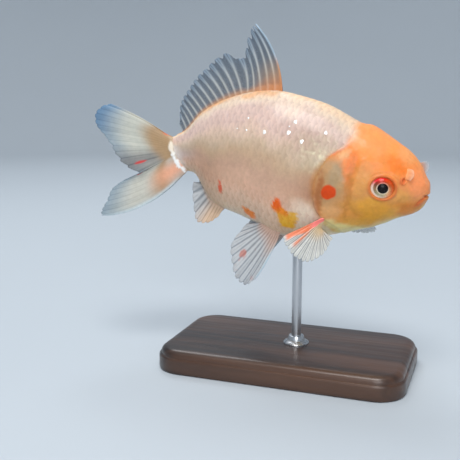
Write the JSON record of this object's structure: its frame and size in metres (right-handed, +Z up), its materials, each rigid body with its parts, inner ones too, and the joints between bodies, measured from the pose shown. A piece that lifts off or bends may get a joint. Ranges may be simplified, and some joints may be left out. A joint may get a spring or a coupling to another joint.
{
  "type": "goldfish model",
  "caption": "Life-size twin-tailed goldfish in a swimming pose, held by a steel rod over a flat wooden display base.",
  "frame": {"origin": "centre of the display base's underside", "axes": "+X the way the fish swims, +Y its left side, +Z up"},
  "size_m": [0.1314, 0.0552, 0.1314],
  "materials": {
    "head_skin": "wet orange skin, smooth, with a slimy gloss",
    "body_skin": "wet pearly scales, pinkish white with a few orange patches",
    "fin_web": "thin clear web between milky rays",
    "eye": "clear wet cornea over a silver and red iris with a black pupil",
    "stand_wood": "dark stained hardwood, satin",
    "stand_steel": "brushed"
  },
  "bodies": {
    "root": {"head": "head_skin", "gill_cover_left": "head_skin", "gill_cover_right": "head_skin", "nostril_flap_left": "fin_web", "nostril_flap_right": "fin_web", "eye_left": "eye", "eye_right": "eye", "trunk": "body_skin", "tail_stock": "body_skin", "dorsal_fin": "fin_web", "pectoral_fin_left": "fin_web", "pectoral_fin_right": "fin_web", "pelvic_fin_left": "fin_web", "pelvic_fin_right": "fin_web", "anal_fin_left": "fin_web", "anal_fin_right": "fin_web", "tail_fin_left_upper": "fin_web", "tail_fin_left_lower": "fin_web", "tail_fin_right_upper": "fin_web", "tail_fin_right_lower": "fin_web", "stand_base": "stand_wood", "stand_socket": "stand_steel", "stand_rod": "stand_steel"}
  },
  "joints": []
}
